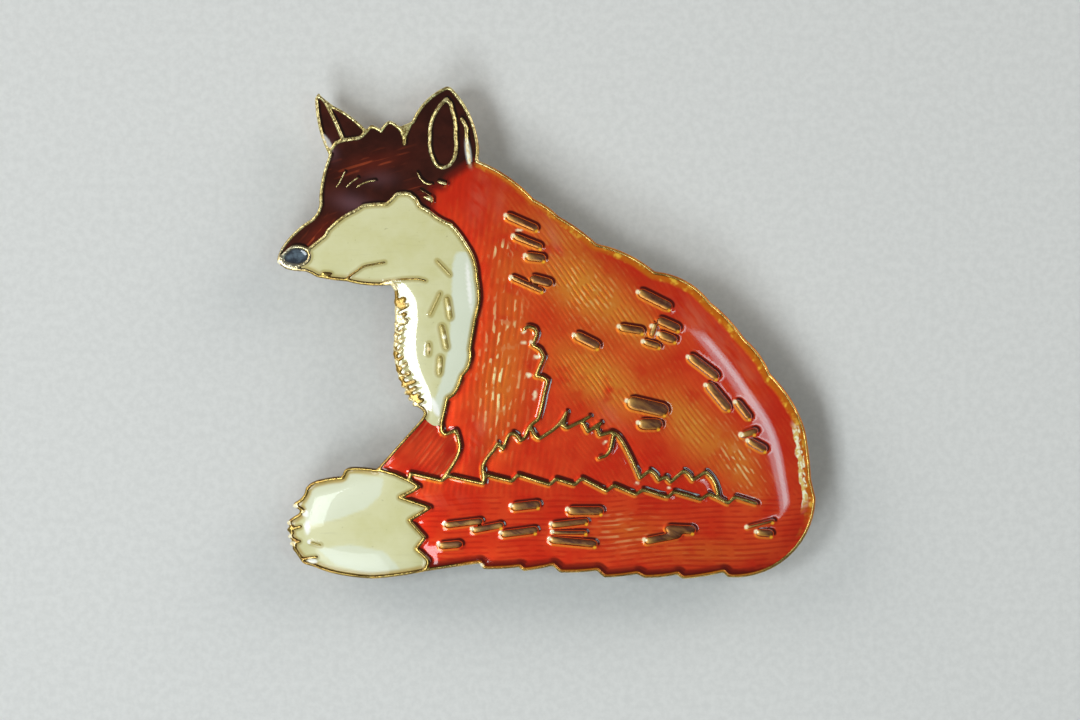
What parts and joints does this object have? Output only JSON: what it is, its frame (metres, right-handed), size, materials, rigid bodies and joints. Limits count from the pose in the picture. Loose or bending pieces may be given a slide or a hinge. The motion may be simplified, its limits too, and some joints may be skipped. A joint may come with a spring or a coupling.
{
  "type": "figural brooch",
  "caption": "Sitting fox brooch: a cast gold-tone plate with raised walls and fur tufts, glossy enamel in its cells and a pin across its back.",
  "frame": {"origin": "middle of the box seen from above, at the surface that the brooch lies on", "axes": "+Z out of the enamelled face, +Y toward the ears, -X toward the nose"},
  "size_m": [0.05, 0.0456, 0.0073],
  "materials": {
    "metal_body": "polished cast gold tone",
    "enamel_head": "gloss, brown",
    "enamel_far_ear_front": "gloss, brown",
    "enamel_far_ear_back": "gloss, brown",
    "enamel_near_ear": "gloss, brown",
    "enamel_nose": "gloss, blue-grey",
    "enamel_face": "gloss, cream",
    "enamel_far_leg": "gloss, orange-red",
    "enamel_body": "gloss, orange-red",
    "enamel_hind_leg": "gloss, orange-red",
    "enamel_tail_tip": "gloss, cream",
    "pin_back": "satin gold tone"
  },
  "bodies": {
    "root": {"metal_body": "metal_body", "enamel_head": "enamel_head", "enamel_far_ear_front": "enamel_far_ear_front", "enamel_far_ear_back": "enamel_far_ear_back", "enamel_near_ear": "enamel_near_ear", "enamel_nose": "enamel_nose", "enamel_face": "enamel_face", "enamel_far_leg": "enamel_far_leg", "enamel_body": "enamel_body", "enamel_hind_leg": "enamel_hind_leg", "enamel_tail_tip": "enamel_tail_tip", "pin_back": "pin_back"}
  },
  "joints": []
}
